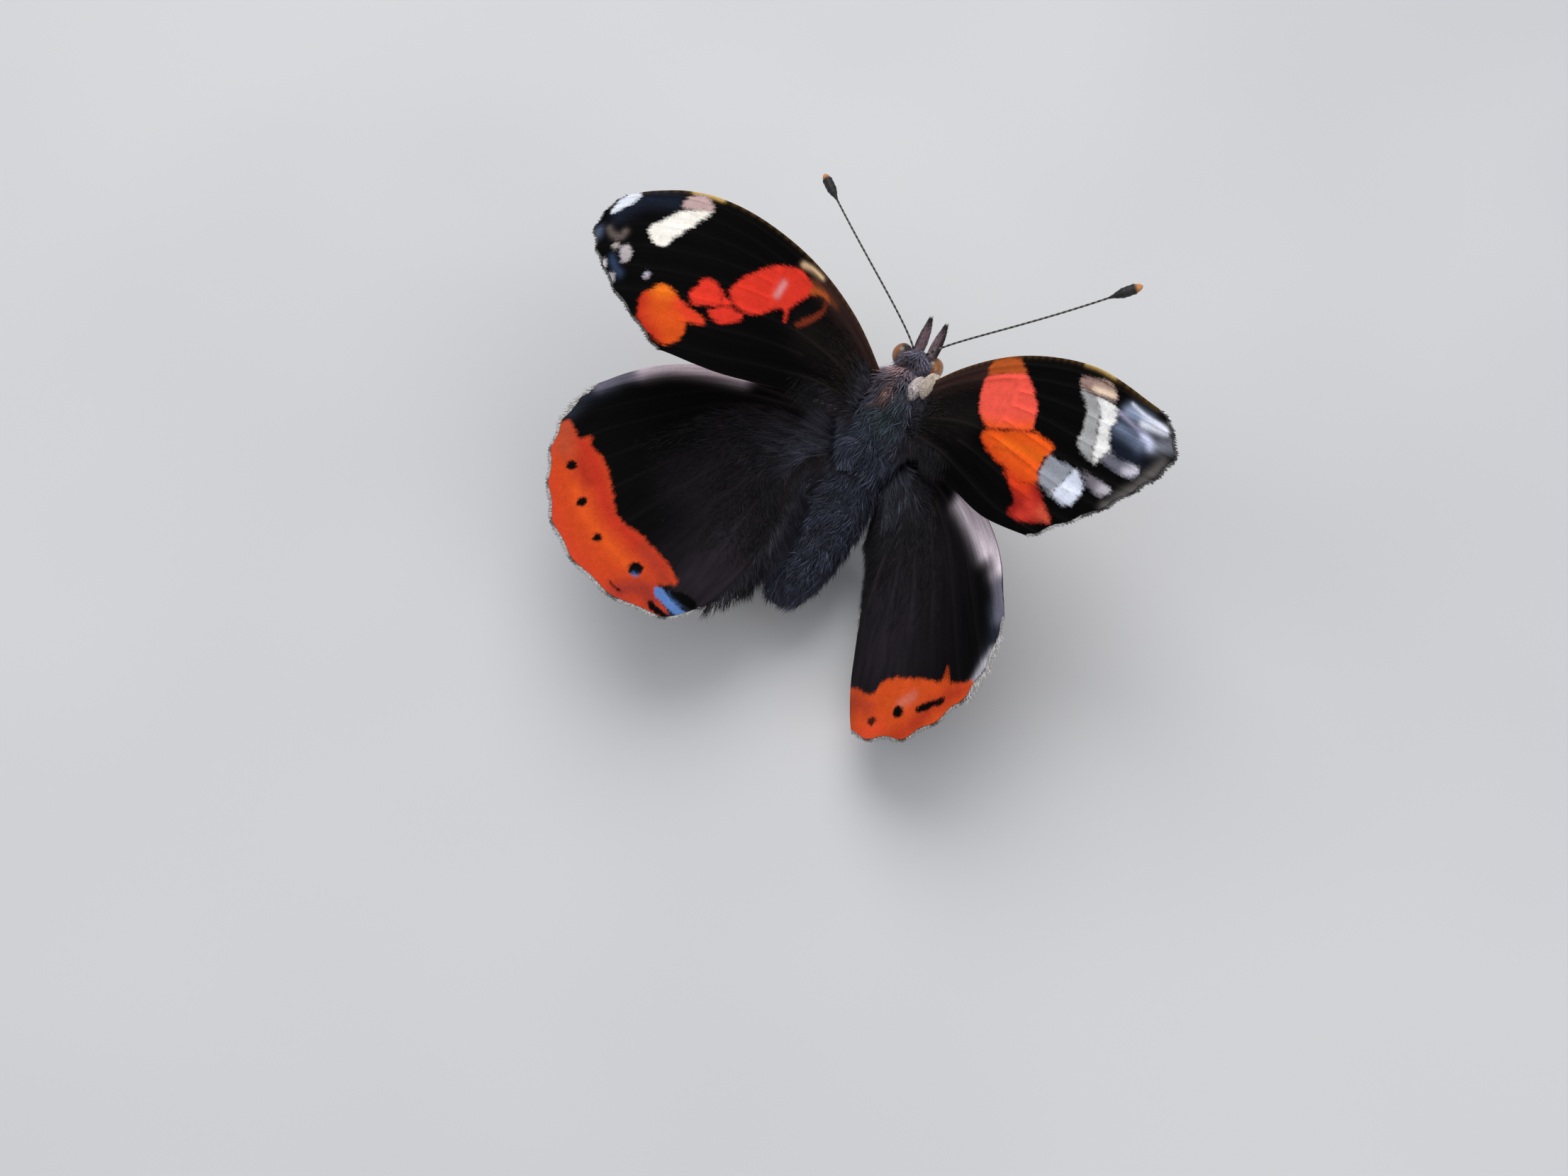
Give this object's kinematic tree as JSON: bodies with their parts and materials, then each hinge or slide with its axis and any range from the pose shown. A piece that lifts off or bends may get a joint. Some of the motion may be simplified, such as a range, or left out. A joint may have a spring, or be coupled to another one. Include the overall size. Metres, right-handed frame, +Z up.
{
  "type": "red admiral butterfly",
  "caption": "Still, life-size red admiral butterfly standing on its legs, its wings half raised in an uneven V, for display or as a scene prop.",
  "frame": {"origin": "middle of the bounding box at the level of the feet's soles", "axes": "+Z up; the head points towards -Y and the tail towards +Y; +X is the butterfly's own left"},
  "size_m": [0.0496, 0.0436, 0.03],
  "materials": {
    "wing_scales": "velvety black-brown scales with vermilion bands, white spots, a blue sheen and orange hind margins",
    "body_hair": "dense soft hair, black with a grey-green and bluish bloom, browner at the head",
    "eye": "glossy orange-brown with a dark stripe and fine facets",
    "feeler": "fine black and white rings, black club with a pale orange tip",
    "leg": "brown chitin with fine scales"
  },
  "bodies": {
    "root": {"thorax": "body_hair", "abdomen": "body_hair", "head": "body_hair", "forewing_left": "wing_scales", "hindwing_left": "wing_scales", "forewing_right": "wing_scales", "hindwing_right": "wing_scales", "eye_left": "eye", "palp_left": "body_hair", "antenna_left": "feeler", "foreleg_left": "leg", "midleg_femur_left": "leg", "midleg_tibia_left": "leg", "midleg_tarsus_left": "leg", "hindleg_femur_left": "leg", "hindleg_tibia_left": "leg", "hindleg_tarsus_left": "leg", "eye_right": "eye", "palp_right": "body_hair", "antenna_right": "feeler", "foreleg_right": "leg", "midleg_femur_right": "leg", "midleg_tibia_right": "leg", "midleg_tarsus_right": "leg", "hindleg_femur_right": "leg", "hindleg_tibia_right": "leg", "hindleg_tarsus_right": "leg"}
  },
  "joints": []
}
